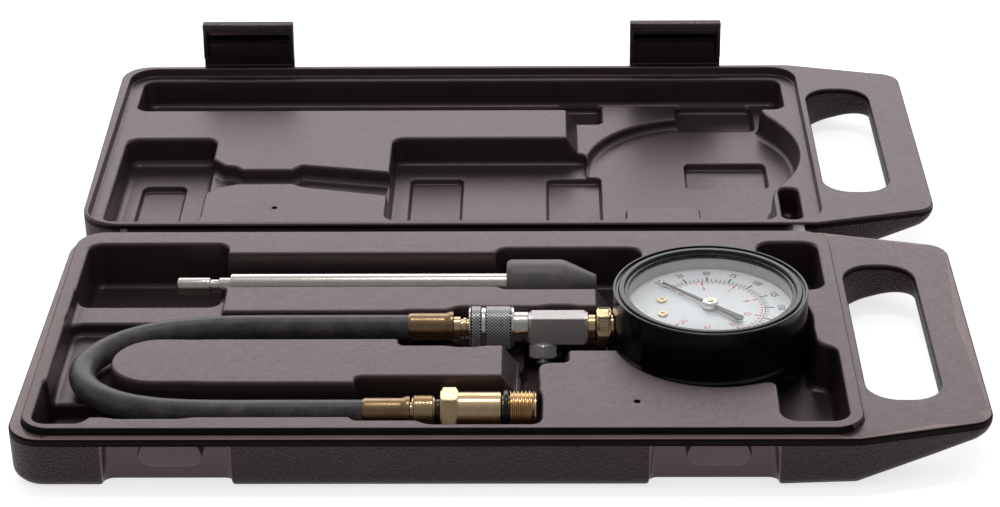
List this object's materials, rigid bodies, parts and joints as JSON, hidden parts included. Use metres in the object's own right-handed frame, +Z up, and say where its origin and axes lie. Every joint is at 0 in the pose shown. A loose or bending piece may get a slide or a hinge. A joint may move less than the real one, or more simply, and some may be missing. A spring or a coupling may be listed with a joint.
{
  "type": "compression tester kit",
  "caption": "Petrol engine compression tester with dial gauge, hose, plug adapter and rubber cone probe, lying in its open moulded case.",
  "frame": {"origin": "centre of the overall box at its bottom face, the table under the open case", "axes": "+X along the case towards its handle, +Y from the base over the hinge to the lid, +Z up"},
  "size_m": [0.38, 0.3686, 0.0446],
  "materials": {
    "case_plastic": "moulded, smooth inside and grained outside",
    "black_rubber": "smooth moulded rubber",
    "hose_rubber": "matt, dusty",
    "plated_case": "deep drawn, plated",
    "black_ring": "black",
    "clear_lens": "clear, polished",
    "spacer_card": "plain",
    "dial_white": "white enamel",
    "brass": "turned, clean",
    "nickel": "satin nickel plate",
    "bright_chrome": "bright plate",
    "spring_steel": "drawn wire"
  },
  "bodies": {
    "base": {"case_base": "case_plastic", "hinge_web": "case_plastic", "gauge_boot": "black_rubber", "seal_washer": "black_rubber", "adapter_oring": "black_rubber", "probe_cone": "black_rubber", "hose": "hose_rubber", "gauge_case": "plated_case", "bezel_ring": "black_ring", "lens": "clear_lens", "dial_spacer": "spacer_card", "dial_plate": "dial_white", "dial_screws": "brass", "movement_frame": "brass", "bourdon_tube": "brass", "gauge_stem": "brass", "hose_plug": "brass", "upper_ferrule": "brass", "lower_ferrule": "brass", "swivel_collar": "brass", "adapter": "brass", "check_valve": "brass", "valve_block": "nickel", "coupler_body": "nickel", "probe_tube": "nickel", "valve_nut": "bright_chrome", "stop_pin": "spring_steel", "hairspring": "spring_steel", "button_spring": "spring_steel", "sleeve_spring": "spring_steel", "coupler_balls": "spring_steel", "snap_ring": "spring_steel"},
    "lid": {"case_lid": "case_plastic"},
    "latch_left": {"latch_left": "case_plastic"},
    "latch_right": {"latch_right": "case_plastic"},
    "needle": {"pointer": "black_ring", "pinion_shaft": "brass"},
    "sector": {"sector_gear": "brass"},
    "link": {"link": "brass"},
    "button": {"release_button": "bright_chrome"},
    "sleeve": {"coupler_sleeve": "bright_chrome"}
  },
  "joints": [
    {"name": "lid_hinge", "type": "hinge", "parent": "base", "child": "lid", "pos_m": [0, -0.002, 0.0223], "axis": [1, 0, 0], "range_deg": [0, 180], "deforming": ["hinge_web"]},
    {"name": "latch_left_hinge", "type": "hinge", "parent": "lid", "child": "latch_left", "pos_m": [-0.1284, 0.1822, 0.0215], "axis": [1, 0, 0], "range_deg": [-90, 2]},
    {"name": "latch_right_hinge", "type": "hinge", "parent": "lid", "child": "latch_right", "pos_m": [0.0818, 0.1822, 0.0215], "axis": [1, 0, 0], "range_deg": [-90, 2]},
    {"name": "sector_swing", "type": "hinge", "parent": "base", "child": "sector", "pos_m": [0.0845, -0.0736, 0.0203], "axis": [0, 0, 1], "range_deg": [0, 45]},
    {"name": "needle_spin", "type": "hinge", "parent": "base", "child": "needle", "pos_m": [0.0845, -0.0904, 0.0203], "axis": [0, 0, 1], "range_deg": [-270, 0], "deforming": ["hairspring"]},
    {"name": "link_pivot", "type": "hinge", "parent": "sector", "child": "link", "pos_m": [0.08621, -0.0689, 0.0216], "axis": [0, 0, 1], "range_deg": [-45, 0]},
    {"name": "button_push", "type": "slide", "parent": "base", "child": "button", "axis": [0, 0.342, 0.9397], "range_m": [0, 0.001], "stiffness_N_per_m": 300, "springref_m": -0.002, "deforming": ["button_spring"]},
    {"name": "sleeve_slide", "type": "slide", "parent": "base", "child": "sleeve", "axis": [1, 0, 0], "range_m": [0, 0.003], "stiffness_N_per_m": 800, "springref_m": -0.003, "deforming": ["sleeve_spring"]}
  ],
  "couplings": [
    {"joint": "needle_spin", "follows": "sector_swing", "ratio": -6},
    {"joint": "link_pivot", "follows": "sector_swing", "ratio": -1}
  ]
}
